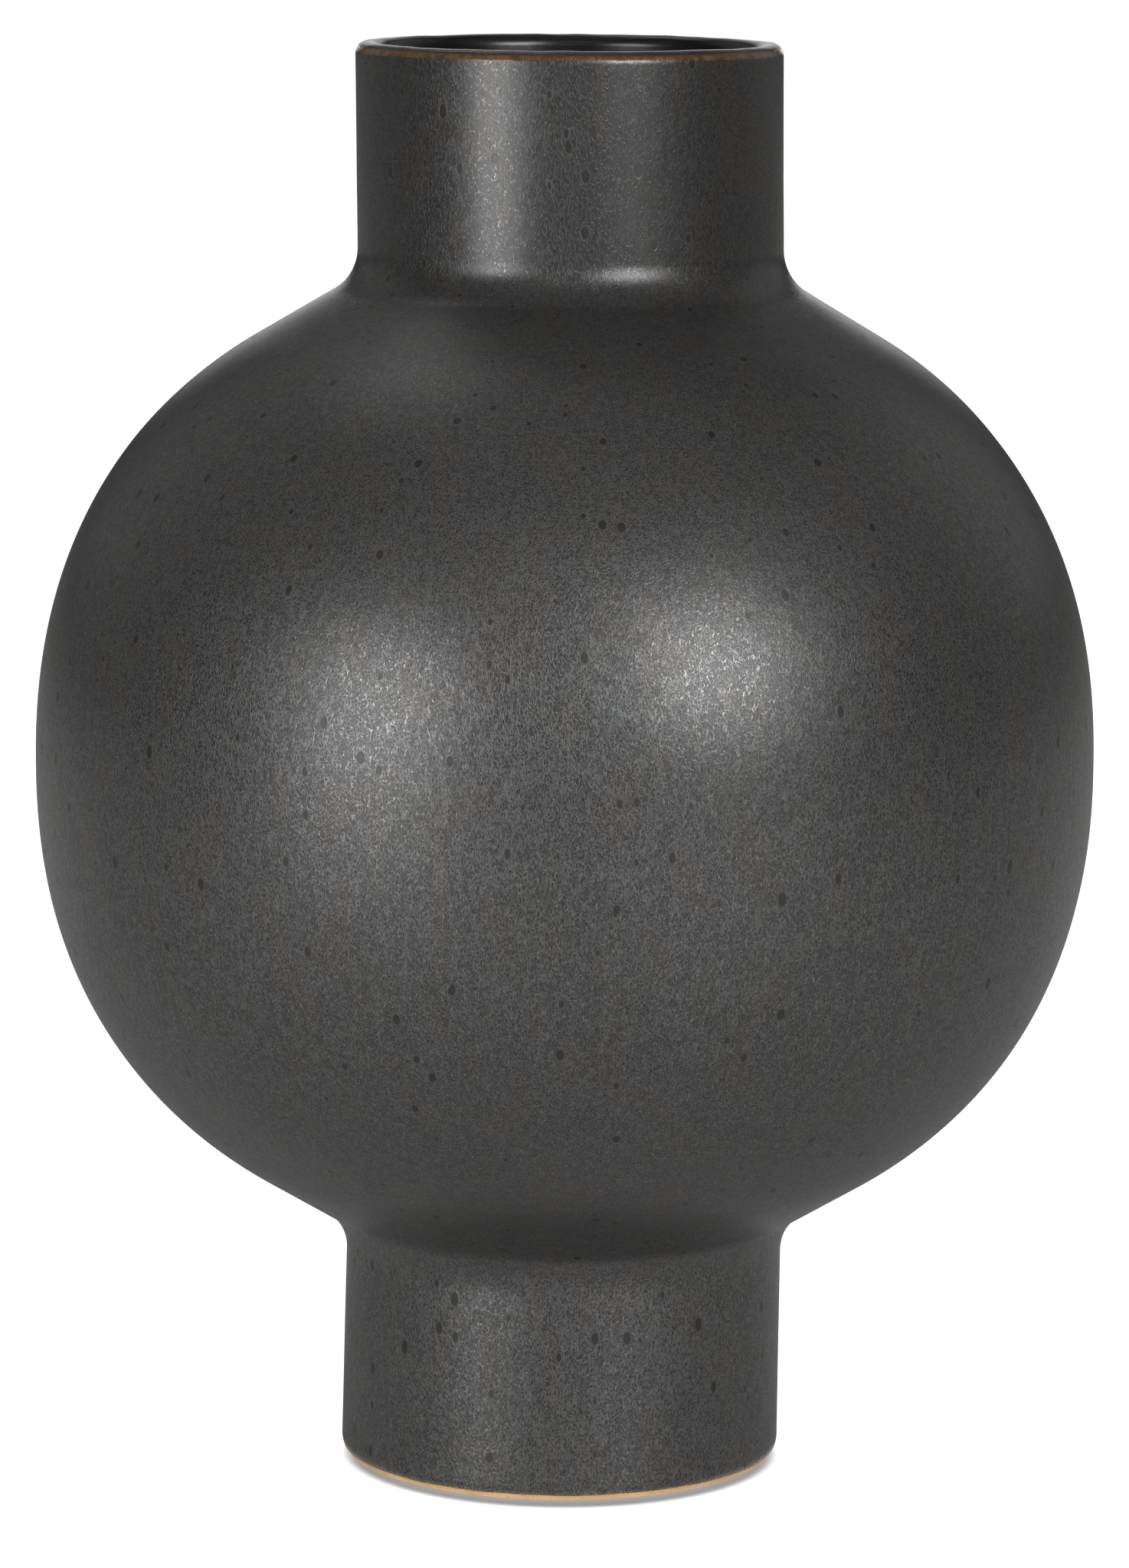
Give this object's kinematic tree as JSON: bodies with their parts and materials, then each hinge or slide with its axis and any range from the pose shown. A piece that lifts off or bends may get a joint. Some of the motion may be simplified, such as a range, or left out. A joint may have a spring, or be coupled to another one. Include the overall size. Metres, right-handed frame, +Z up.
{
  "type": "vase",
  "caption": "Round-bodied ceramic vase with a straight wide neck and matching straight foot, satin dark glaze outside and glossy liner inside.",
  "frame": {"origin": "centre of the foot's underside, on the surface the vase stands on", "axes": "+Z up along the axis of the neck, body and foot; X and Y are equal, because every piece is turned about Z"},
  "size_m": [0.297, 0.297, 0.4],
  "materials": {
    "bare_clay": "unglazed fired stoneware, warm tan, fine sandy grain",
    "slip_clay": "fired joining slip, matte",
    "satin_glaze": "near-black satin reactive glaze with a fine metallic network of pale veins, brown where it breaks thin at the lip",
    "gloss_glaze": "glossy black liner glaze"
  },
  "bodies": {
    "root": {"foot_section": "bare_clay", "base_floor": "bare_clay", "lower_body": "bare_clay", "upper_body": "bare_clay", "neck_section": "bare_clay", "foot_slip": "slip_clay", "waist_slip": "slip_clay", "neck_slip": "slip_clay", "outer_glaze": "satin_glaze", "liner_glaze": "gloss_glaze"}
  },
  "joints": []
}
